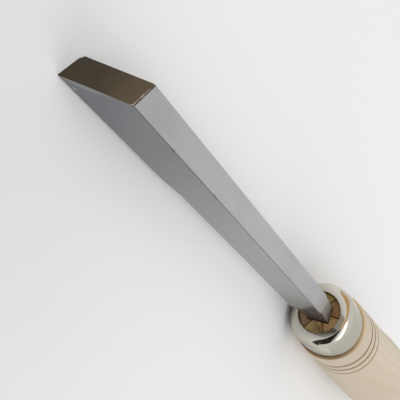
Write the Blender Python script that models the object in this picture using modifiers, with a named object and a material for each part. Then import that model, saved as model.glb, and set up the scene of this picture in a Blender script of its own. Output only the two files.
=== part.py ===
import math

import bmesh
import bpy
import numpy as np
from mathutils import Matrix, Vector

# Sizes are millimetres in the tool's own frame: X runs along the tool axis from the ferrule's front face
# to the tip, +Z is the blade's upper narrow face and +Y is its broad rake face.
MM = 0.001

FIT_GAP = 0.3
SLIT = 0.5
LATHE_STEPS = 72

BAR_THICK = 8.0
SHANK_TOP = 6.15
SHANK_LOW = 6.45
NOSE_LOW = 7.7
TIP_X = 139.2
NOSE_LENGTH = 38.0
NOSE_RAMP = 9.0
SKEW = math.radians(37.8)
CLEARANCE = math.radians(15.6)
ARRIS = 0.25
HEEL_EASE_Y = 1.3
HEEL_EASE_Z = 0.45

HONE_CHORD = 13.0
HONE_WIDTH = 1.1
HONE_DEPTH = 0.12
HONE_STEPS = 16

SHOULDER_RUN = 2.5
FOLD_X = 9.6
FOLD_SKEW = 0.6
TANG_THICK = 6.6
TANG_WIDE = 8.9
TANG_LENGTH = 75.0
TANG_END_THICK = 3.4
TANG_END_WIDE = 4.4
TANG_END_ROOM = 2.0

FERRULE_R = 14.0
FERRULE_FLARE = 0.2
FERRULE_LENGTH = 14.0
FERRULE_WALL = 1.0
FERRULE_ROLL = 2.9
FERRULE_TIGHT = 1.0
FERRULE_TURN = math.radians(25.0)
FERRULE_INSIDE = 2.4
FERRULE_HOLE_R = 8.8
FERRULE_BREAK = 0.25

BAND_R = 15.2
BAND_ROUND = 0.7
BAND_LENGTH = 9.1
GROOVE_COUNT = 3
GROOVE_PITCH = 4.35
GROOVE_DEPTH = 0.6
GROOVE_HALF = 0.75
NECK_R = 16.0
SWELL_R = 18.6
SWELL_RUN = 52.0
WAIST_R = 12.8
WAIST_RUN = 78.0
BUTT_R = 14.4
BUTT_RUN = 31.0
BUTT_DOME = 13.0
ROUND_STEPS = 8
GRIP_STEPS = 10

SOCKET_R = 9.4
SOCKET_END_R = 7.2
SOCKET_DEPTH = 20.0
WEDGE_COUNT = 6
WEDGE_TURN = math.radians(-3.0)
WEDGE_RECESS = 0.1

SHOULDER_X = FERRULE_LENGTH + FIT_GAP
NECK_X = SHOULDER_X + BAND_LENGTH + (GROOVE_COUNT - 1) * GROOVE_PITCH
GRIP_STATIONS = (
    (NECK_X, NECK_R),
    (NECK_X + SWELL_RUN, SWELL_R),
    (NECK_X + SWELL_RUN + WAIST_RUN, WAIST_R),
    (NECK_X + SWELL_RUN + WAIST_RUN + BUTT_RUN, BUTT_R),
)

STEEL = (0.30, 0.30, 0.31)
NICKEL = (0.52, 0.50, 0.46)
BEECH = (0.72, 0.61, 0.45)
WEDGE_BROWNS = ((0.20, 0.11, 0.05), (0.16, 0.09, 0.04), (0.14, 0.08, 0.04))


def start_collection(name):
    group = bpy.data.collections.new(name)
    bpy.context.scene.collection.children.link(group)
    return group


def make_material(name, colour, metallic, roughness):
    material = bpy.data.materials.new(name)
    material.use_nodes = True
    shader = material.node_tree.nodes["Principled BSDF"]
    shader.inputs["Base Color"].default_value = (*colour, 1.0)
    shader.inputs["Metallic"].default_value = metallic
    shader.inputs["Roughness"].default_value = roughness
    return material


def add_object(name, bm, group, material=None):
    """Turns a bmesh into an object of the tool; one without a material is a cutter."""
    bmesh.ops.recalc_face_normals(bm, faces=bm.faces)
    bmesh.ops.scale(bm, vec=(MM, MM, MM), verts=bm.verts)
    mesh = bpy.data.meshes.new(name)
    bm.to_mesh(mesh)
    bm.free()
    obj = bpy.data.objects.new(name, mesh)
    group.objects.link(obj)
    obj.parent = rest
    if material:
        mesh.materials.append(material)
    else:
        obj.hide_render = True
        obj.display_type = "WIRE"
    return obj


def extruded(outline, sweep, taper=(1.0, 1.0)):
    """A flat outline swept by a vector, its far end scaled in Y and Z about the tool axis."""
    bm = bmesh.new()
    face = bm.faces.new([bm.verts.new(point) for point in outline])
    swept = bmesh.ops.extrude_face_region(bm, geom=[face])["geom"]
    far = [item for item in swept if isinstance(item, bmesh.types.BMVert)]
    bmesh.ops.scale(bm, vec=(1.0, *taper), verts=far)
    bmesh.ops.translate(bm, vec=sweep, verts=far)
    return bm


def cone(near_x, far_x, near_r, far_r):
    """A cone frustum along the tool axis between two distances behind the ferrule's face."""
    bm = bmesh.new()
    place = Matrix.Translation((-(near_x + far_x) / 2, 0.0, 0.0)) @ Matrix.Rotation(math.pi / 2, 4, "Y")
    bmesh.ops.create_cone(
        bm, cap_ends=True, segments=LATHE_STEPS, radius1=far_r, radius2=near_r,
        depth=far_x - near_x, matrix=place,
    )
    return bm


def cut(obj, cutter, operation="DIFFERENCE"):
    modifier = obj.modifiers.new(cutter.name, "BOOLEAN")
    modifier.operation = operation
    modifier.solver = "EXACT"
    modifier.object = cutter


def turned(name, profile, closed, material):
    """Turns (radius, distance behind the ferrule's face) points round the tool axis, outer side first."""
    bm = bmesh.new()
    line = [bm.verts.new((r, 0.0, -x)) for r, x in profile]
    for start, end in zip(line, line[1:]):
        bm.edges.new((start, end))
    if closed:
        bm.edges.new((line[-1], line[0]))
    draft = add_object(name + "_profile", bm, cutters)
    screw = draft.modifiers.new("turn", "SCREW")
    screw.steps = LATHE_STEPS
    screw.render_steps = LATHE_STEPS
    screw.use_merge_vertices = True
    screw.merge_threshold = 1e-5
    graph = bpy.context.evaluated_depsgraph_get()
    mesh = bpy.data.meshes.new_from_object(draft.evaluated_get(graph))
    bpy.data.objects.remove(draft)
    mesh.transform(Matrix.Rotation(math.pi / 2, 4, "Y"))
    mesh.shade_smooth()
    mesh.set_sharp_from_angle(angle=math.radians(35.0))
    mesh.materials.append(material)
    obj = bpy.data.objects.new(name, mesh)
    parts.objects.link(obj)
    obj.parent = rest
    return obj


def arc(radius, x, size, count):
    """A quarter round of the given size that ends at radius, starting on the plane at x."""
    turns = np.linspace(0.0, math.pi / 2, count + 1)
    return [(radius - size * (1 - math.sin(t)), x + size * (1 - math.cos(t))) for t in turns]


def tang_half(x):
    """Half the tang's thickness and width a distance x behind the ferrule's face."""
    share = x / TANG_LENGTH
    thick = TANG_THICK + (TANG_END_THICK - TANG_THICK) * share
    wide = TANG_WIDE + (TANG_END_WIDE - TANG_WIDE) * share
    return thick / 2, wide / 2


def tang_room():
    """The tang with its clearance, which is cut from the handle and from the wedges."""
    near_y, near_z = (half + FIT_GAP for half in tang_half(0.0))
    far_y, far_z = (half + FIT_GAP for half in tang_half(TANG_LENGTH + TANG_END_ROOM))
    outline = [(0.0, y * near_y, z * near_z) for y, z in ((-1, -1), (1, -1), (1, 1), (-1, 1))]
    sweep = (-TANG_LENGTH - TANG_END_ROOM, 0.0, 0.0)
    return add_object("tang_room", extruded(outline, sweep, (far_y / near_y, far_z / near_z)), cutters)


def end_grind():
    """The ground end's half-space, skewed across the blade's width and leaning back below the rake face."""
    normal = Vector((1.0, -math.tan(CLEARANCE), math.tan(SKEW))).normalized()
    size = 6 * (SHANK_TOP + NOSE_LOW)
    corner = Vector((TIP_X, BAR_THICK / 2, -NOSE_LOW))
    turn = normal.to_track_quat("Z", "Y").to_matrix().to_4x4()
    place = Matrix.Translation(corner + normal * size / 2) @ turn
    bm = bmesh.new()
    bmesh.ops.create_cube(bm, size=size, matrix=place)
    return add_object("end_grind", bm, cutters)


def hone_land():
    """A shallow arc swept back from the cutting edge and out of the face, which leaves a lens-shaped land."""
    edge = Vector((-math.sin(SKEW), 0.0, math.cos(SKEW)))
    back = Vector((-math.cos(SKEW), 0.0, -math.sin(SKEW)))
    face = Vector((0.0, 1.0, 0.0))
    half = HONE_CHORD / 2
    start = Vector((TIP_X, BAR_THICK / 2, -NOSE_LOW)) + edge * half - back * HONE_WIDTH
    shares = np.linspace(-1.2, 1.2, HONE_STEPS + 1)
    outline = [start + edge * half * s + face * HONE_DEPTH * (s * s - 2) for s in shares]
    outline += [start + edge * half * s + face * BAR_THICK for s in (shares[-1], shares[0])]
    sweep = 3 * (back * HONE_WIDTH + face * HONE_DEPTH)
    return add_object("hone_land", extruded(outline, sweep), cutters)


def heel_ease():
    """The dubbed-off arris under the nose, on the side away from the rake face."""
    y = -BAR_THICK / 2
    reach = 2 * BAR_THICK
    slope = HEEL_EASE_Z / HEEL_EASE_Y
    x = TIP_X - NOSE_LENGTH - NOSE_RAMP
    outline = [
        (x, y - reach, -NOSE_LOW - reach),
        (x, y + HEEL_EASE_Y + reach, -NOSE_LOW - reach * slope),
        (x, y - reach, -NOSE_LOW + HEEL_EASE_Z + reach * slope),
    ]
    return add_object("heel_ease", extruded(outline, (2 * TIP_X, 0.0, 0.0)), cutters)


def build_blade():
    nose_x = TIP_X - NOSE_LENGTH
    over_x = TIP_X + NOSE_LOW
    root_y, root_z = tang_half(0.0)
    end_y, end_z = tang_half(TANG_LENGTH)
    side = [
        (-TANG_LENGTH, -end_z), (0.0, -root_z), (FOLD_X, -SHANK_LOW), (nose_x - NOSE_RAMP, -SHANK_LOW),
        (nose_x, -NOSE_LOW), (over_x, -NOSE_LOW), (over_x, SHANK_TOP), (FOLD_X, SHANK_TOP),
        (0.0, root_z), (-TANG_LENGTH, end_z),
    ]
    flank = [
        (-TANG_LENGTH - TANG_END_ROOM, end_y), (-TANG_LENGTH, end_y), (0.0, root_y), (FOLD_X, root_y),
        (FOLD_X + SHOULDER_RUN, BAR_THICK / 2), (over_x + NOSE_LOW, BAR_THICK / 2),
    ]
    plan = flank + [(x, -y) for x, y in reversed(flank)]
    bar = extruded([(x, -BAR_THICK, z) for x, z in side], (0.0, 2 * BAR_THICK, 0.0))
    for vert in bar.verts:
        if vert.co.x < FOLD_X + SHOULDER_RUN:
            vert.co.x += FOLD_SKEW * vert.co.y
    blade = add_object("scraper_blade", bar, parts, make_material("ground_steel", STEEL, 1.0, 0.42))
    deep = 2 * (SHANK_TOP + NOSE_LOW)
    flanks = extruded([(x, y, -deep) for x, y in plan], (0.0, 0.0, 2 * deep))
    cut(blade, add_object("blade_plan", flanks, cutters), "INTERSECT")
    arris = blade.modifiers.new("arris", "BEVEL")
    arris.width = ARRIS * MM
    arris.segments = 1
    arris.limit_method = "ANGLE"
    arris.angle_limit = math.radians(45.0)
    for cutter in (heel_ease(), end_grind(), hone_land()):
        cut(blade, cutter)
    return blade


def rolled_edge():
    """The cup's front edge, which rolls over with a tight and then a wide radius."""
    flat = FERRULE_R - FERRULE_ROLL
    turns = np.linspace(0.0, FERRULE_TURN, ROUND_STEPS // 2 + 1)
    points = [(flat + FERRULE_TIGHT * math.sin(t), FERRULE_TIGHT * (1 - math.cos(t))) for t in turns]
    r, x = points[-1]
    out, back = math.sin(FERRULE_TURN), math.cos(FERRULE_TURN)
    wide = (FERRULE_R - r) / (1 - out)
    for t in np.linspace(FERRULE_TURN, math.pi / 2, ROUND_STEPS + 1)[1:]:
        points.append((r + wide * (math.sin(t) - out), x + wide * (back - math.cos(t))))
    return points


def build_ferrule():
    inner = FERRULE_R - FERRULE_WALL
    rear = FERRULE_R + FERRULE_FLARE
    profile = [
        (FERRULE_HOLE_R, FERRULE_WALL), (FERRULE_HOLE_R, FERRULE_BREAK),
        (FERRULE_HOLE_R + FERRULE_BREAK, 0.0),
        *rolled_edge(),
        (rear, FERRULE_LENGTH - FERRULE_BREAK), (rear - FERRULE_BREAK, FERRULE_LENGTH),
        (inner, FERRULE_LENGTH),
        *reversed(arc(inner, FERRULE_WALL, FERRULE_INSIDE, ROUND_STEPS // 2)),
    ]
    return turned("ferrule", profile, True, make_material("nickel_plate", NICKEL, 1.0, 0.28))


def grip_profile():
    """Band, V-grooves, swell, waist and butt as (radius, distance) points behind the ferrule."""
    points = arc(BAND_R, SHOULDER_X, BAND_ROUND, ROUND_STEPS // 2)
    slope = (NECK_R - BAND_R) / (NECK_X - SHOULDER_X)
    for i in range(GROOVE_COUNT):
        middle = SHOULDER_X + BAND_LENGTH + i * GROOVE_PITCH
        for step, depth in ((-GROOVE_HALF, 0.0), (0.0, GROOVE_DEPTH), (GROOVE_HALF, 0.0)):
            x = middle + step
            points.append((BAND_R + slope * (x - SHOULDER_X) - depth, x))
    for (x0, r0), (x1, r1) in zip(GRIP_STATIONS, GRIP_STATIONS[1:]):
        for share in np.linspace(0.0, 1.0, GRIP_STEPS + 1)[1:]:
            ease = (1 - math.cos(math.pi * share)) / 2
            points.append((r0 + (r1 - r0) * ease, x0 + (x1 - x0) * share))
    butt_x = GRIP_STATIONS[-1][0]
    for turn in np.linspace(0.0, math.pi / 2, ROUND_STEPS + 1)[1:-1]:
        points.append((BUTT_R * math.cos(turn), butt_x + BUTT_DOME * math.sin(turn)))
    return points + [(0.0, butt_x + BUTT_DOME)]


def build_handle(room):
    front = FERRULE_WALL + FIT_GAP
    spigot = FERRULE_R - FERRULE_WALL - FIT_GAP
    profile = [
        (0.0, front), *arc(spigot, front, FERRULE_INSIDE - FIT_GAP, ROUND_STEPS // 2),
        (spigot, SHOULDER_X), *grip_profile(),
    ]
    handle = turned("handle", profile, False, make_material("turned_beech", BEECH, 0.0, 0.55))
    cut(handle, add_object("socket", cone(0.0, SOCKET_DEPTH, SOCKET_R, SOCKET_END_R), cutters))
    cut(handle, room)
    return handle


def build_wedge(index, room):
    """One segment round the tang: the socket's cone, sliced half a slit inside two radial planes."""
    near_x = FERRULE_WALL + FIT_GAP + WEDGE_RECESS
    far_x = SOCKET_DEPTH - FIT_GAP
    slope = (SOCKET_END_R - SOCKET_R) / SOCKET_DEPTH
    bm = cone(near_x, far_x, SOCKET_R + slope * near_x - FIT_GAP, SOCKET_R + slope * far_x - FIT_GAP)
    step = 2 * math.pi / WEDGE_COUNT
    for turn, sign in ((index * step, -1), ((index + 1) * step, 1)):
        outward = sign * Vector((0.0, -math.cos(WEDGE_TURN + turn), -math.sin(WEDGE_TURN + turn)))
        every = [*bm.verts, *bm.edges, *bm.faces]
        sliced = bmesh.ops.bisect_plane(
            bm, geom=every, plane_co=-outward * SLIT / 2, plane_no=outward, clear_outer=True,
        )
        rim = [item for item in sliced["geom_cut"] if isinstance(item, bmesh.types.BMEdge)]
        bmesh.ops.contextual_create(bm, geom=rim)
    brown = WEDGE_BROWNS[index % len(WEDGE_BROWNS)]
    name = f"tang_wedge_{index + 1}"
    wedge = add_object(name, bm, parts, make_material(f"{name}_wood", brown, 0.0, 0.6))
    cut(wedge, room)
    return wedge


def world_points(obj):
    solid = obj.evaluated_get(bpy.context.evaluated_depsgraph_get())
    mesh = solid.to_mesh()
    points = np.array([solid.matrix_world @ vertex.co for vertex in mesh.vertices])
    solid.to_mesh_clear()
    return points


def lowest(points, tilt):
    return (points[:, 2] * math.cos(tilt) - points[:, 0] * math.sin(tilt)).min()


def lay_down(blade, handle, others):
    """Tips the tool until nose and grip both touch z = 0, and centres it over the origin."""
    bpy.context.view_layer.update()
    blade_points = world_points(blade)
    handle_points = world_points(handle)
    flat, steep = 0.0, math.pi / 6
    for _ in range(60):
        tilt = (flat + steep) / 2
        if lowest(blade_points, tilt) > lowest(handle_points, tilt):
            flat = tilt
        else:
            steep = tilt
    every = np.vstack([blade_points, handle_points, *map(world_points, others)])
    every = every @ np.array(Matrix.Rotation(tilt, 3, "Y")).T
    low, high = every.min(axis=0), every.max(axis=0)
    rest.rotation_euler = (0.0, tilt, 0.0)
    rest.location = (-(low[0] + high[0]) / 2, -(low[1] + high[1]) / 2, -low[2])
    print("rest tilt", math.degrees(tilt), "ferrule face centre", [value / MM for value in rest.location])


for leftover in list(bpy.data.objects):
    bpy.data.objects.remove(leftover)
parts = start_collection("turning_scraper")
cutters = start_collection("cutters")
rest = bpy.data.objects.new("rest_pose", None)
parts.objects.link(rest)

room = tang_room()
blade = build_blade()
ferrule = build_ferrule()
handle = build_handle(room)
wedges = [build_wedge(i, room) for i in range(WEDGE_COUNT)]
lay_down(blade, handle, [ferrule, *wedges])
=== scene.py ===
import math
import bmesh
import bpy
from mathutils import Matrix, Vector


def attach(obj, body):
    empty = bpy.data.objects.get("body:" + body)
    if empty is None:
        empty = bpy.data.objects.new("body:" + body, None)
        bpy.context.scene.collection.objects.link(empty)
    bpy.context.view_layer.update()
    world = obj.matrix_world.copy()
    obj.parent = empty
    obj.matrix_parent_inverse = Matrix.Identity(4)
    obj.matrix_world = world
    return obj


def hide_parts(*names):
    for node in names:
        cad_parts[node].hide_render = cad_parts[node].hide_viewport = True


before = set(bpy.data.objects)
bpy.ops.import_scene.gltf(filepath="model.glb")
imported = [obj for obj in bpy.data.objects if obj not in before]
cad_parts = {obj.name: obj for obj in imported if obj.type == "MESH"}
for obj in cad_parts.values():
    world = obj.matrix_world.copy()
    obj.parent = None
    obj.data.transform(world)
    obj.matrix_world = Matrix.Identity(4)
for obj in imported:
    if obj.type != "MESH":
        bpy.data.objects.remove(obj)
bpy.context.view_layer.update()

# the tool's own axes: x from the ferrule's face to the tip, y out of the rake face, z out of the upper edge
toolPose = {
    "tilt": math.radians(2.86515),  # dip of the axis when nose and grip both touch the bench
    "ferruleFace": (0.0336355, 0.0, 0.0146449),  # middle of the ferrule's front face
    "mm": 0.001,
}
toolTurn = Matrix.Rotation(toolPose["tilt"], 4, "Y")
mmToWorld = Matrix.Translation(toolPose["ferruleFace"]) @ toolTurn @ Matrix.Scale(toolPose["mm"], 4)


# shader helpers
def newFinish(name, metallic, roughness):
    finish = bpy.data.materials.new(name)
    finish.use_nodes = True
    shader = finish.node_tree.nodes["Principled BSDF"]
    shader.inputs["Metallic"].default_value = metallic
    shader.inputs["Roughness"].default_value = roughness
    return finish, shader


def addNode(finish, kind, **inputs):
    node = finish.node_tree.nodes.new(kind)
    for socket, value in inputs.items():
        node.inputs[socket].default_value = value
    return node


def feed(finish, source, target):  # a link where source is a socket, a plain value otherwise
    if isinstance(source, bpy.types.NodeSocket):
        finish.node_tree.links.new(source, target)
    elif isinstance(source, tuple) and len(source) == 3 and target.type == "RGBA":
        target.default_value = (*source, 1.0)
    else:
        target.default_value = source


def toolCoords(finish, stretch=(1.0, 1.0, 1.0)):  # millimetres on the tool's own axes
    coords = addNode(finish, "ShaderNodeTexCoord")
    place = addNode(finish, "ShaderNodeMapping")
    place.vector_type = "TEXTURE"
    place.inputs["Location"].default_value = toolPose["ferruleFace"]
    place.inputs["Rotation"].default_value = (0.0, toolPose["tilt"], 0.0)
    place.inputs["Scale"].default_value = [toolPose["mm"] * s for s in stretch]
    feed(finish, coords.outputs["Object"], place.inputs["Vector"])
    return place.outputs["Vector"]


def noise(finish, vector, scale, detail=3.0, roughness=0.5, distortion=0.0):
    node = addNode(finish, "ShaderNodeTexNoise", Scale=scale, Detail=detail, Roughness=roughness)
    node.inputs["Distortion"].default_value = distortion
    feed(finish, vector, node.inputs["Vector"])
    return node.outputs["Fac"]


def ramp(finish, factor, *stops):
    node = addNode(finish, "ShaderNodeValToRGB")
    elements = node.color_ramp.elements
    while len(elements) < len(stops):
        elements.new(0.5)
    for element, (position, colour) in zip(elements, stops):
        element.position = position
        element.color = (*colour, 1.0)
    feed(finish, factor, node.inputs["Fac"])
    return node.outputs["Color"]


def mix(finish, factor, first, second):
    node = addNode(finish, "ShaderNodeMix")
    node.data_type = "RGBA"
    for source, target in zip((factor, first, second), (node.inputs[0], node.inputs[6], node.inputs[7])):
        feed(finish, source, target)
    return node.outputs[2]


def remap(finish, value, low, high, toLow, toHigh):
    node = addNode(finish, "ShaderNodeMapRange")
    node.interpolation_type = "SMOOTHSTEP"
    for source, target in zip((value, low, high, toLow, toHigh), node.inputs):
        feed(finish, source, target)
    return node.outputs["Result"]


def maths(finish, operation, first, second=0.0):
    node = addNode(finish, "ShaderNodeMath")
    node.operation = operation
    feed(finish, first, node.inputs[0])
    feed(finish, second, node.inputs[1])
    return node.outputs["Value"]


def split(finish, vector):
    node = addNode(finish, "ShaderNodeSeparateXYZ")
    feed(finish, vector, node.inputs["Vector"])
    return node.outputs["X"], node.outputs["Y"], node.outputs["Z"]


def distance(finish, vector, point):
    node = addNode(finish, "ShaderNodeVectorMath")
    node.operation = "DISTANCE"
    feed(finish, vector, node.inputs[0])
    node.inputs[1].default_value = point
    return node.outputs["Value"]


def relief(finish, shader, height, strength, depth):  # depth in millimetres
    node = addNode(finish, "ShaderNodeBump", Strength=strength, Distance=depth * toolPose["mm"])
    feed(finish, height, node.inputs["Height"])
    feed(finish, node.outputs["Normal"], shader.inputs["Normal"])


def grindAlong(finish, shader, direction, amount):  # gloss spread across the grinding lines
    line = addNode(finish, "ShaderNodeCombineXYZ", X=direction[0], Y=direction[1], Z=direction[2])
    feed(finish, line.outputs["Vector"], shader.inputs["Tangent"])
    shader.inputs["Anisotropic"].default_value = amount
    shader.inputs["Anisotropic Rotation"].default_value = 0.25  # a quarter turn


# piece helpers
pieceSet = {
    "sharp": math.radians(35.0),  # steeper edges stay crisp
    "weld": 0.002, "seam": 0.001,  # mm, corners closer than this are one
    "flat": math.radians(0.6),  # triangles within this angle are one face
    "turnSteps": 160,
}


def finishPiece(name, bm, finishes, node, smooth=True):
    bmesh.ops.transform(bm, matrix=mmToWorld, verts=bm.verts)
    mesh = bpy.data.meshes.new(name)
    bm.to_mesh(mesh)
    bm.free()
    mesh.shade_flat()
    if smooth:
        mesh.shade_smooth()
        mesh.set_sharp_from_angle(angle=pieceSet["sharp"])
    for finish in finishes:
        mesh.materials.append(finish)
    piece = bpy.data.objects.new(name, mesh)
    bpy.context.scene.collection.objects.link(piece)
    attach(piece, "root")
    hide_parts(node)
    print("piece", name, len(mesh.polygons), "faces")


def weldedCopy(node):  # the CAD node's triangles as whole faces, in mm on the tool's axes
    bm = bmesh.new()
    bm.from_mesh(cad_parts[node].data)
    bmesh.ops.transform(bm, matrix=mmToWorld.inverted(), verts=bm.verts)
    bmesh.ops.remove_doubles(bm, verts=bm.verts, dist=pieceSet["weld"])
    bmesh.ops.dissolve_limit(bm, angle_limit=pieceSet["flat"], verts=bm.verts, edges=bm.edges)
    bm.normal_update()
    return bm


def breakEdges(bm, edges, width):
    return bmesh.ops.bevel(
        bm, geom=edges, offset=width, affect="EDGES", segments=2, profile=0.5, material=-1,
    )


def turned(profile):  # (radius, distance behind the ferrule's face) points spun round the axis
    bm = bmesh.new()
    line = [bm.verts.new((-x, 0.0, r)) for r, x in profile]
    edges = [bm.edges.new(pair) for pair in zip(line, line[1:])]
    if profile[0][0] > 0.0:
        edges.append(bm.edges.new((line[-1], line[0])))
    bmesh.ops.spin(
        bm, geom=line + edges, cent=(0.0, 0.0, 0.0), axis=(1.0, 0.0, 0.0),
        angle=2 * math.pi, steps=pieceSet["turnSteps"], use_merge=True,
    )
    bmesh.ops.remove_doubles(bm, verts=bm.verts, dist=pieceSet["seam"])
    bmesh.ops.recalc_face_normals(bm, faces=bm.faces)
    return bm


def roundOver(radius, x, size, steps):  # a quarter round from the plane at x out to the radius
    turns = [math.pi / 2 * i / steps for i in range(steps + 1)]
    return [(radius - size * (1 - math.sin(t)), x + size * (1 - math.cos(t))) for t in turns]


# the blade: ground bar, browned end, honed land, burr with a painted highlight and a painted shadow line,
# tang with a filed top and sides painted dark as shade
bladeSet = {
    "endNormal": (1.0, -math.tan(math.radians(15.6)), math.tan(math.radians(37.8))),
    "endMatch": 0.999,  # how near a face's normal comes to the one looked for
    "landMatch": (0.985, 0.9999), "rakeMatch": 0.85, "topMatch": 0.8, "arrisMatch": 0.4,
    "landFrom": 100.0,  # the honed land lies in front of this
    "tangFront": 8.0,  # faces with their middle behind this belong to the tang
    "burr": 0.3,  # width of the turned-over edge on the end's short side
    "burrFrom": 5.5, "burrMatch": 0.4,  # that side's height, and the burr's front by its normal
    "glintLine": ((135.20, 4.0, -6.46), (134.89, 4.0, -6.40), (134.58, 4.0, -6.34)),  # a painted glint: a bright line near the point
    "nicks": ((113.2, 4.0, 6.1), (94.2, 4.0, 6.1)),
    # tones at the tip and at the rear, and the run between them; the darker tip is painted shade, for the
    # shaded bench that the steel mirrors there
    "upperTones": ((0.55, 0.55, 0.542), (0.62, 0.626, 0.645)),
    "arrisTones": ((0.15, 0.15, 0.155), (0.30, 0.30, 0.305)),
    "rakeTones": ((0.225, 0.228, 0.246), (0.44, 0.442, 0.452)),
    "shadeRun": (138.0, 62.0),
    "lineTone": (0.36, 0.36, 0.37), "gritTone": (0.60, 0.60, 0.60), "cloudTone": (0.38, 0.38, 0.39),
    "speckTone": (0.22, 0.21, 0.20), "nickTone": (0.16, 0.16, 0.16), "glintTone": (0.80, 0.79, 0.85),
    "stainShadeTone": (0.27, 0.25, 0.215), "dullShadeTone": (0.20, 0.19, 0.17), "cornerShadeTone": (0.10, 0.092, 0.08),
    "endStops": (
        (0.3, (0.036, 0.029, 0.018)), (0.5, (0.056, 0.044, 0.028)), (0.75, (0.084, 0.060, 0.033)),
    ),
    "endPale": (0.178, 0.143, 0.088),
    "landTones": ((0.29, 0.295, 0.29), (0.36, 0.365, 0.36)),
    # the burr is real; its pale strip is a painted highlight and its dark strip a painted shadow line
    "burrHighlight": ((0.22, 0.19, 0.165), (0.66, 0.62, 0.58)),
    "burrShadow": ((0.03, 0.022, 0.018), (0.14, 0.115, 0.10)),
    "burrFadeTone": (0.09, 0.07, 0.048),
    "filedTones": ((0.29, 0.285, 0.27), (0.54, 0.535, 0.51)),
    # the tang's sides: painted shade, for the shade and dark reflections next to the ferrule
    "shadedTangTones": ((0.10, 0.083, 0.066), (0.20, 0.172, 0.14)),
}


# the third argument is where the brown stain near the ferrule ends, a stain that is partly painted shade
# where the blade meets the ferrule; brown its share; the last the share of the painted shade in the corner by
# the tang
def groundSteel(name, tones, stainShadeFrom, brown=1.0, cornerShade=0.0):
    s = bladeSet
    finish, shader = newFinish(name, 1.0, 0.42)
    coords = toolCoords(finish)
    x, _, z = split(finish, coords)
    lines = noise(finish, toolCoords(finish, (40.0, 1.0, 1.0)), 4.0, 4.0, 0.6)
    grit = noise(finish, toolCoords(finish, (2.0, 1.0, 1.0)), 3.2, 3.0, 0.6)
    clouds = noise(finish, coords, 0.07, 4.0, 0.55)
    # painted shade: the steel darker towards the tip
    tone = mix(finish, remap(finish, x, *s["shadeRun"], 0.0, 1.0), *tones)
    tone = mix(finish, remap(finish, lines, 0.35, 0.7, 0.0, 0.18), tone, s["lineTone"])
    tone = mix(finish, remap(finish, grit, 0.3, 0.7, 0.0, 0.16), tone, s["gritTone"])
    tone = mix(finish, remap(finish, clouds, 0.4, 0.7, 0.0, 0.2), tone, s["cloudTone"])
    specks = remap(finish, noise(finish, coords, 1.3, 2.0), 0.72, 0.8, 0.0, 0.4)
    tone = mix(finish, specks, tone, s["speckTone"])
    # brown stain towards the ferrule, partly painted shade where the blade meets it
    near = remap(finish, x, stainShadeFrom, s["tangFront"], 0.0, brown)
    brownAndShade = maths(finish, "MULTIPLY", near, remap(finish, clouds, 0.3, 0.6, 0.3, 0.6))
    tone = mix(finish, brownAndShade, tone, s["stainShadeTone"])
    if cornerShade:  # painted shade in the corner between the upper edge and the tang, and darker towards the tang
        tone = mix(finish, remap(finish, x, 26.0, 16.0, 0.0, 0.3), tone, s["dullShadeTone"])
        shadedCorner = remap(finish, maths(finish, "SUBTRACT", x, z), 15.4, 11.6, 0.0, cornerShade)
        tone = mix(finish, shadedCorner, tone, s["cornerShadeTone"])
    for nick in s["nicks"]:
        mark = remap(finish, distance(finish, coords, nick), 0.7, 0.2, 0.0, 0.6)
        tone = mix(finish, mark, tone, s["nickTone"])
    # painted highlight: a bright glint along a line near the point
    for spot in s["glintLine"]:
        glint = remap(finish, distance(finish, coords, spot), 0.34, 0.12, 0.0, 0.6)
        tone = mix(finish, glint, tone, s["glintTone"])
    feed(finish, tone, shader.inputs["Base Color"])
    feed(finish, remap(finish, lines, 0.2, 0.8, 0.40, 0.48), shader.inputs["Roughness"])
    grindAlong(finish, shader, (1.0, 0.0, 0.0), 0.5)
    relief(finish, shader, lines, 0.1, 0.02)
    return finish


def brownedEnd():
    finish, shader = newFinish("brownedEnd", 0.5, 0.45)
    coords = toolCoords(finish)
    z = split(finish, coords)[2]
    mottle = noise(finish, coords, 0.45, 6.0, 0.65, 0.6)
    tone = ramp(finish, mottle, *bladeSet["endStops"])
    tone = mix(finish, remap(finish, z, -3.0, 6.0, 0.0, 0.6), tone, bladeSet["endPale"])
    feed(finish, tone, shader.inputs["Base Color"])
    feed(finish, remap(finish, mottle, 0.3, 0.7, 0.35, 0.55), shader.inputs["Roughness"])
    relief(finish, shader, mottle, 0.25, 0.05)
    return finish


def honedLand():
    finish, shader = newFinish("honedLand", 1.0, 0.3)
    strokes = noise(finish, toolCoords(finish, (1.0, 1.0, 25.0)), 6.0, 2.0)
    feed(finish, mix(finish, strokes, *bladeSet["landTones"]), shader.inputs["Base Color"])
    feed(finish, remap(finish, strokes, 0.3, 0.7, 0.24, 0.36), shader.inputs["Roughness"])
    return finish


def burrEdge(name):
    finish, shader = newFinish(name, 0.4, 0.35)
    coords = toolCoords(finish)
    ragged = noise(finish, coords, 2.2, 3.0)
    tone = mix(finish, remap(finish, ragged, 0.4, 0.6, 0.0, 1.0), *bladeSet[name])
    far = remap(finish, split(finish, coords)[1], 0.5, -3.5, 0.0, 0.85)
    tone = mix(finish, far, tone, bladeSet["burrFadeTone"])  # darker towards the back
    feed(finish, tone, shader.inputs["Base Color"])
    relief(finish, shader, ragged, 0.4, 0.08)
    return finish


def dullTang(name, tones):
    finish, shader = newFinish(name, 0.9, 0.6)
    scale = noise(finish, toolCoords(finish, (1.0, 1.0, 3.0)), 1.2, 5.0, 0.65)
    feed(finish, mix(finish, scale, *tones), shader.inputs["Base Color"])
    relief(finish, shader, scale, 0.5, 0.12)
    return finish


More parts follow.
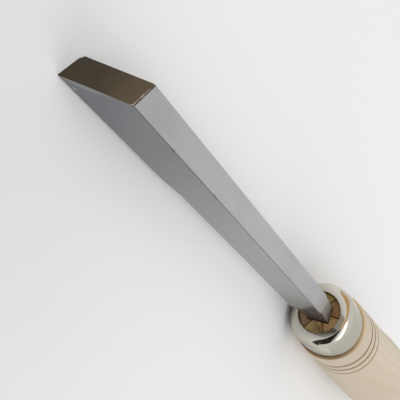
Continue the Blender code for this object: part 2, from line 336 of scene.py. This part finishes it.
def bladeArea(face, endNormal):  # which part of the blade a face belongs to
    s = bladeSet
    x = face.calc_center_median().x
    across, up = face.normal.y, abs(face.normal.z)
    if face.normal.dot(endNormal) > s["endMatch"]:
        return "end"
    if s["landMatch"][0] < across < s["landMatch"][1] and x > s["landFrom"]:
        return "land"
    if x < s["tangFront"]:
        return "tangTop" if up > s["topMatch"] else "tangSide"
    if across > s["rakeMatch"]:
        return "rake"
    if min(abs(across), up) > s["arrisMatch"]:
        return "arris"
    return "upper"


def makeBlade():
    s = bladeSet
    finishes = {
        "upper": groundSteel("upperSteel", s["upperTones"], stainShadeFrom=24.0, brown=0.3),
        "end": brownedEnd(),
        "land": honedLand(),
        "burrFront": burrEdge("burrHighlight"),
        "burrTop": burrEdge("burrShadow"),
        "tangTop": dullTang("filedTang", s["filedTones"]),
        "rake": groundSteel("rakeSteel", s["rakeTones"], stainShadeFrom=44.0, cornerShade=0.95),
        "arris": groundSteel("arrisSteel", s["arrisTones"], stainShadeFrom=34.0),
        "tangSide": dullTang("shadedTang", s["shadedTangTones"]),
    }
    index = {area: i for i, area in enumerate(finishes)}
    bm = weldedCopy("scraper_blade")
    endNormal = Vector(s["endNormal"]).normalized()
    for face in bm.faces:
        face.material_index = index[bladeArea(face, endNormal)]
    ends = [f for f in bm.faces if f.material_index == index["end"]]
    short = [e for f in ends for e in f.edges if min(v.co.z for v in e.verts) > s["burrFrom"]]
    turnedOver = breakEdges(bm, short, s["burr"])
    for face in turnedOver["faces"]:
        face.normal_update()
        face.material_index = index["burrFront" if face.normal.x > s["burrMatch"] else "burrTop"]
    print("blade", len(ends), "end faces", len(short), "burr edges", len(turnedOver["faces"]), "burr faces")
    finishPiece("bladePiece", bm, finishes.values(), "scraper_blade", smooth=False)


# the ferrule: drawn cup, its front edge rolled over with a tight and then a wide radius
ferruleSet = {
    "radius": 14.0, "flare": 0.2, "length": 14.0, "wall": 1.0, "hole": 8.8, "lip": 0.4, "inside": 2.4,
    "flat": 11.1, "tight": 1.0, "turn": math.radians(25.0),  # the wide radius starts after this turn
    "bell": ((-0.1, 1.5), (0.05, 0.4), (0.02, 0.15), (-0.2, 0.0)),  # rear lip: radius step, way from the end
    "lipSteps": 5, "tightSteps": 4, "wideSteps": 14, "insideSteps": 8,
    "tones": ((0.65, 0.615, 0.54), (0.76, 0.73, 0.655)),
    "rubTone": (0.55, 0.50, 0.42), "sideTone": (0.54, 0.50, 0.41), "rearShadeTone": (0.20, 0.165, 0.12),
    "lowShadeTone": (0.16, 0.138, 0.10), "contourShadeTone": (0.08, 0.068, 0.048),
}


def ferruleNickel():
    s = ferruleSet
    finish, shader = newFinish("ferruleNickel", 1.0, 0.16)
    coords = toolCoords(finish)
    x, _, z = split(finish, coords)
    clouds = noise(finish, coords, 0.22, 4.0, 0.6)
    rubs = noise(finish, toolCoords(finish, (9.0, 1.0, 1.0)), 1.1, 4.0, 0.6)
    tone = mix(finish, clouds, *s["tones"])
    tone = mix(finish, remap(finish, rubs, 0.55, 0.75, 0.0, 0.3), tone, s["rubTone"])
    tone = mix(finish, remap(finish, x, -0.6, -4.5, 0.0, 0.8), tone, s["sideTone"])  # darker on the side behind the front edge
    # painted shade: the low side darker, as it mirrors the shaded bench beneath it, less of it at the front,
    # and a dark painted band along the lowest part
    low = remap(finish, z, 6.0, -3.0, 0.0, 0.85)
    underShade = maths(finish, "MULTIPLY", low, remap(finish, z, -13.0, -6.0, 0.3, 1.0))
    underShade = maths(finish, "MULTIPLY", underShade, remap(finish, x, -1.0, -4.0, 0.25, 1.0))
    tone = mix(finish, underShade, tone, s["lowShadeTone"])
    tone = mix(finish, remap(finish, z, -8.5, -12.3, 0.0, 0.9), tone, s["contourShadeTone"])
    # painted reflection and shade: darker towards the rear on the lower part, for the mirrored wood and the
    # gap behind
    rear = remap(finish, x, -5.0, -13.0, 0.0, 0.7)
    rear = maths(finish, "MULTIPLY", rear, remap(finish, z, 12.0, 2.0, 0.0, 1.0))
    tone = mix(finish, rear, tone, s["rearShadeTone"])
    feed(finish, tone, shader.inputs["Base Color"])
    feed(finish, remap(finish, rubs, 0.3, 0.75, 0.07, 0.17), shader.inputs["Roughness"])
    relief(finish, shader, clouds, 0.04, 0.1)
    return finish


def rolledEdge():
    s = ferruleSet
    turn = s["turn"]
    points = []
    for i in range(s["tightSteps"] + 1):
        t = turn * i / s["tightSteps"]
        points.append((s["flat"] + s["tight"] * math.sin(t), s["tight"] * (1 - math.cos(t))))
    r, x = points[-1]
    wide = (s["radius"] - r) / (1 - math.sin(turn))
    for i in range(1, s["wideSteps"] + 1):
        t = turn + (math.pi / 2 - turn) * i / s["wideSteps"]
        points.append((r + wide * (math.sin(t) - math.sin(turn)), x + wide * (math.cos(turn) - math.cos(t))))
    return points


def makeFerrule():
    s = ferruleSet
    inner = s["radius"] - s["wall"]
    rear = s["radius"] + s["flare"]
    lip = roundOver(s["hole"] + s["lip"], 0.0, s["lip"], s["lipSteps"])
    lip = [(2 * s["hole"] + s["lip"] - r, x) for r, x in lip][::-1]
    profile = [(s["hole"], s["wall"]), *lip, *rolledEdge()]
    profile += [(rear + out, s["length"] - back) for out, back in s["bell"]]
    profile += [(inner, s["length"]), *roundOver(inner, s["wall"], s["inside"], s["insideSteps"])[::-1]]
    finishPiece("ferrulePiece", turned(profile), [ferruleNickel()], "ferrule")


# the handle: spigot, band, three grooves, swell, waist and domed butt
handleSet = {
    "spigot": 12.7, "front": 1.3, "ease": 2.1, "shoulder": 14.3, "band": 15.2, "round": 0.7, "roundSteps": 6,
    "grooves": (23.4, 27.75, 32.1), "grooveDepth": 0.6, "grooveHalf": 0.75,
    # the cutter's shape in shares of the groove's half width and depth
    "cutter": ((-1.0, 0.0), (-0.8, 0.1), (-0.15, 0.95), (0.0, 1.0), (0.15, 0.95), (0.8, 0.1), (1.0, 0.0)),
    "stations": ((32.1, 16.0), (84.1, 18.6), (162.1, 12.8), (193.1, 14.4)), "stationSteps": 20,
    "dome": 13.0, "domeSteps": 16,
    "socket": ((0.0, 77.0), (3.2, 77.0), (5.3, 20.0), (7.2, 20.0), (9.257, 1.3)),
    "grooveStain": 0.85, "shoulderStain": (-0.1, 0.35),  # share of a groove, way from the shoulder
    "pith": (-32.0, -25.0),  # y and z of the growth rings' middle, far below the side that shows
    "ringWidth": 2.4, "ringSway": 5.0, "ringShare": 0.3,
    "fibreTones": ((0.655, 0.555, 0.416), (0.785, 0.685, 0.545)),
    "shadedSideTone": (0.42, 0.345, 0.245), "ringTone": (0.55, 0.43, 0.30), "fleckTone": (0.50, 0.38, 0.26),
    "nearFerruleTone": (0.51, 0.43, 0.32),
    # stains, the first tone on the rake side and the second behind; on the shoulder the dark first tone is
    # painted shade in the gap behind the ferrule
    "grooveTones": ((0.24, 0.15, 0.07), (0.24, 0.15, 0.07)),
    "shoulderStainShadeTones": ((0.25, 0.12, 0.03), (0.86, 0.65, 0.38)),
    "faintTones": ((0.30, 0.21, 0.11), (0.30, 0.21, 0.11)),
}


def paleWood(name, stains=None, stainShare=0.0):
    s = handleSet
    finish, shader = newFinish(name, 0.0, 0.55)
    coords = toolCoords(finish)
    sway = noise(finish, toolCoords(finish, (4.0, 1.0, 1.0)), 0.05, 2.0)
    x, y, z = split(finish, coords)
    ways = [maths(finish, "SUBTRACT", way, middle) for way, middle in zip((y, z), s["pith"])]
    squares = [maths(finish, "MULTIPLY", way, way) for way in ways]
    reach = maths(finish, "SQRT", maths(finish, "ADD", *squares))
    reach = maths(finish, "ADD", reach, maths(finish, "MULTIPLY", sway, s["ringSway"]))
    rings = maths(finish, "FRACT", maths(finish, "DIVIDE", reach, s["ringWidth"]))
    late = remap(finish, rings, 0.55, 0.95, 0.0, 1.0)
    fibres = noise(finish, toolCoords(finish, (25.0, 1.0, 1.0)), 2.4, 5.0, 0.6)
    flecks = noise(finish, toolCoords(finish, (6.0, 1.0, 1.0)), 1.5, 2.0, 0.5)
    tone = mix(finish, fibres, *s["fibreTones"])
    tone = mix(finish, remap(finish, y, -6.0, 15.0, 0.0, 0.5), tone, s["shadedSideTone"])  # painted shade: the +y side darker, where less light falls on it
    tone = mix(finish, maths(finish, "MULTIPLY", late, s["ringShare"]), tone, s["ringTone"])
    tone = mix(finish, remap(finish, flecks, 0.64, 0.74, 0.0, 0.35), tone, s["fleckTone"])
    # darker towards the ferrule
    tone = mix(finish, remap(finish, x, -37.0, -20.0, 0.0, 0.4), tone, s["nearFerruleTone"])
    if stains:
        # stain, and on the shoulder painted shade, darker towards the rake side
        stainAndShade = mix(finish, remap(finish, y, 15.0, -1.0, 0.0, 1.0), *stains)
        tone = mix(finish, stainShare, tone, stainAndShade)
    feed(finish, tone, shader.inputs["Base Color"])
    feed(finish, remap(finish, fibres, 0.3, 0.7, 0.48, 0.62), shader.inputs["Roughness"])
    relief(finish, shader, fibres, 0.15, 0.05)
    return finish


def gripProfile():
    s = handleSet
    points = roundOver(s["band"], s["shoulder"], s["round"], s["roundSteps"])
    slope = (s["stations"][0][1] - s["band"]) / (s["grooves"][-1] - s["shoulder"])
    for middle in s["grooves"]:
        for step, depth in s["cutter"]:
            x = middle + step * s["grooveHalf"]
            points.append((s["band"] + slope * (x - s["shoulder"]) - depth * s["grooveDepth"], x))
    steps = s["stationSteps"]
    for (x0, r0), (x1, r1) in zip(s["stations"], s["stations"][1:]):
        for i in range(1, steps + 1):
            x = x0 + (x1 - x0) * i / steps
            if x > points[-1][1]:
                points.append((r0 + (r1 - r0) * (1 - math.cos(math.pi * i / steps)) / 2, x))
    end, radius = s["stations"][-1]
    for i in range(1, s["domeSteps"]):
        turn = math.pi / 2 * i / s["domeSteps"]
        points.append((radius * math.cos(turn), end + s["dome"] * math.sin(turn)))
    return points + [(0.0, end + s["dome"])]


def handleArea(x):  # which finish the wood has at this distance behind the ferrule's face
    s = handleSet
    inGroove = [abs(x - groove) < s["grooveStain"] * s["grooveHalf"] for groove in s["grooves"]]
    if any(inGroove):
        return "faintGroove" if inGroove[-1] else "groove"
    near, far = s["shoulderStain"]
    return "shoulder" if s["shoulder"] + near < x < s["shoulder"] + far else "grip"


def makeHandle():
    s = handleSet
    finishes = {
        "grip": paleWood("gripWood"),
        "groove": paleWood("grooveWood", s["grooveTones"], stainShare=0.85),
        "shoulder": paleWood("shoulderWood", s["shoulderStainShadeTones"], stainShare=0.75),
        "faintGroove": paleWood("faintGrooveWood", s["faintTones"], stainShare=0.6),
    }
    index = {area: i for i, area in enumerate(finishes)}
    profile = [*s["socket"], *roundOver(s["spigot"], s["front"], s["ease"], s["roundSteps"])]
    profile += [(s["spigot"], s["shoulder"]), *gripProfile()]
    bm = turned(profile)
    for face in bm.faces:
        face.material_index = index[handleArea(-face.calc_center_median().x)]
    finishPiece("handlePiece", bm, finishes.values(), "handle")


# the six wedges round the tang, each its own brown
wedgeSet = {
    "break": 0.15, "breakFrom": math.radians(30),  # edges steeper than this are broken
    "grain": (0.8, 0.07),  # scale of the grain, and what each wedge adds to it
    "browns": (  # deep and pale tone of wedges 1 to 6
        ((0.15, 0.070, 0.019), (0.36, 0.185, 0.060)),
        ((0.16, 0.092, 0.019), (0.43, 0.30, 0.085)),
        ((0.13, 0.072, 0.032), (0.29, 0.175, 0.080)),
        ((0.142, 0.080, 0.043), (0.32, 0.19, 0.107)),
        ((0.285, 0.177, 0.068), (0.645, 0.435, 0.187)),
        ((0.235, 0.130, 0.046), (0.52, 0.32, 0.126)),
    ),
}


def wedgeWood(number, browns):
    finish, shader = newFinish(f"wedgeWood{number}", 0.0, 0.55)
    first, more = wedgeSet["grain"]
    grain = noise(finish, toolCoords(finish), first + more * number, 5.0, 0.6)
    feed(finish, mix(finish, grain, *browns), shader.inputs["Base Color"])
    relief(finish, shader, grain, 0.4, 0.1)
    return finish


def makeWedge(number, browns):
    bm = weldedCopy(f"tang_wedge_{number}")
    edges = [e for e in bm.edges if e.is_manifold and e.calc_face_angle() > wedgeSet["breakFrom"]]
    breakEdges(bm, edges, wedgeSet["break"])
    finish = wedgeWood(number, browns)
    finishPiece(f"wedgePiece{number}", bm, [finish], f"tang_wedge_{number}")


makeBlade()
makeFerrule()
makeHandle()
for number, browns in enumerate(wedgeSet["browns"], 1):
    makeWedge(number, browns)


# bench, light and camera
stageSet = {
    "floorSize": 16.0, "floorTone": (0.88, 0.88, 0.88), "sky": 0.74,
    "lamps": (  # place, aim, width, length, power and whether metal mirrors it
        ("key", (1.72, 1.40, 3.36), (0.03, 0.0, 0.0), 5.2, 1.4, 28.0, True),
        ("window", (-2.8, 1.8, 2.0), (0.0, 0.0, 0.0), 2.4, 2.4, 42.0, False),
    ),
    "cards": (  # place, size, turns about y and z, tone, and whether it shades the bench too
        ("darkCard", (0.43, 0.43, 0.19), (0.38, 0.97), (90.0, 40.0), (0.03, 0.024, 0.018), False),
        ("cameraBody", (0.2246, 0.0569, 0.0947), (0.056, 0.08), (52.9, 27.9), (0.03, 0.03, 0.03), True),
        ("brownCard", (0.48, -0.40, 0.27), (0.48, 1.25), (90.0, -42.0), (0.56, 0.38, 0.175), False),
        ("darkMat", (0.2322, 0.2944, 0.0005), (0.465, 0.4), (0.0, 12.2), (0.05, 0.042, 0.035), False),
    ),
}


def stagePlane(name, size, tone, place):
    bm = bmesh.new()
    bmesh.ops.create_grid(bm, x_segments=1, y_segments=1, size=0.5)  # one metre square
    bmesh.ops.scale(bm, vec=(*size, 1.0), verts=bm.verts)
    bmesh.ops.transform(bm, matrix=place, verts=bm.verts)
    mesh = bpy.data.meshes.new(name)
    bm.to_mesh(mesh)
    bm.free()
    finish, shader = newFinish(name + "Finish", 0.0, 0.9)
    shader.inputs["Base Color"].default_value = (*tone, 1.0)
    shader.inputs["Specular IOR Level"].default_value = 0.0
    mesh.materials.append(finish)
    plane = bpy.data.objects.new(name, mesh)
    bpy.context.scene.collection.objects.link(plane)
    return plane


def makeStage():
    s = stageSet
    stagePlane("bench", (s["floorSize"], s["floorSize"]), s["floorTone"], Matrix.Identity(4))
    for name, place, size, turns, tone, shading in s["cards"]:
        tip, swing = (Matrix.Rotation(math.radians(turn), 4, axis) for turn, axis in zip(turns, "YZ"))
        card = stagePlane(name, size, tone, Matrix.Translation(place) @ swing @ tip)
        card.visible_camera = False
        card.visible_diffuse = shading
        card.visible_shadow = shading
    world = bpy.data.worlds.new("studio")
    bpy.context.scene.world = world
    world.use_nodes = True
    background = world.node_tree.nodes["Background"]
    background.inputs["Color"].default_value = (1.0, 1.0, 1.0, 1.0)
    background.inputs["Strength"].default_value = s["sky"]
    for name, place, aim, width, length, power, mirrored in s["lamps"]:
        lamp = bpy.data.lights.new(name, "AREA")
        lamp.shape = "RECTANGLE"
        lamp.size = width
        lamp.size_y = length
        lamp.energy = power
        stand = bpy.data.objects.new(name, lamp)
        bpy.context.scene.collection.objects.link(stand)
        stand.visible_glossy = mirrored
        stand.location = place
        stand.rotation_euler = (Vector(aim) - stand.location).to_track_quat("-Z", "Y").to_euler()


cameraSet = {
    "focal": 450.0, "image": 400.0,  # pixels
    "sensor": 36.0,  # mm
    "clip": (0.005, 50.0),  # metres
    "eye": (173.24, 49.35, 76.77),  # mm on the tool's axes
    "forward": (-0.6739, -0.3741, -0.6371),
    "right": (-0.5092, -0.3896, 0.7674),
}


def makeCamera():
    s = cameraSet
    lens = bpy.data.cameras.new("photoCamera")
    lens.sensor_width = s["sensor"]
    lens.lens = s["sensor"] * s["focal"] / s["image"]
    lens.clip_start, lens.clip_end = s["clip"]
    back = -Vector(s["forward"]).normalized()
    right = Vector(s["right"])
    right = (right - back * right.dot(back)).normalized()
    axes = Matrix((right, back.cross(right), back)).transposed().to_4x4()
    camera = bpy.data.objects.new("photoCamera", lens)
    bpy.context.scene.collection.objects.link(camera)
    camera.matrix_world = Matrix.Translation(mmToWorld @ Vector(s["eye"])) @ toolTurn @ axes
    bpy.context.scene.camera = camera


makeStage()
makeCamera()
bpy.context.scene.view_settings.view_transform = "Standard"
print("stage, light and camera set")
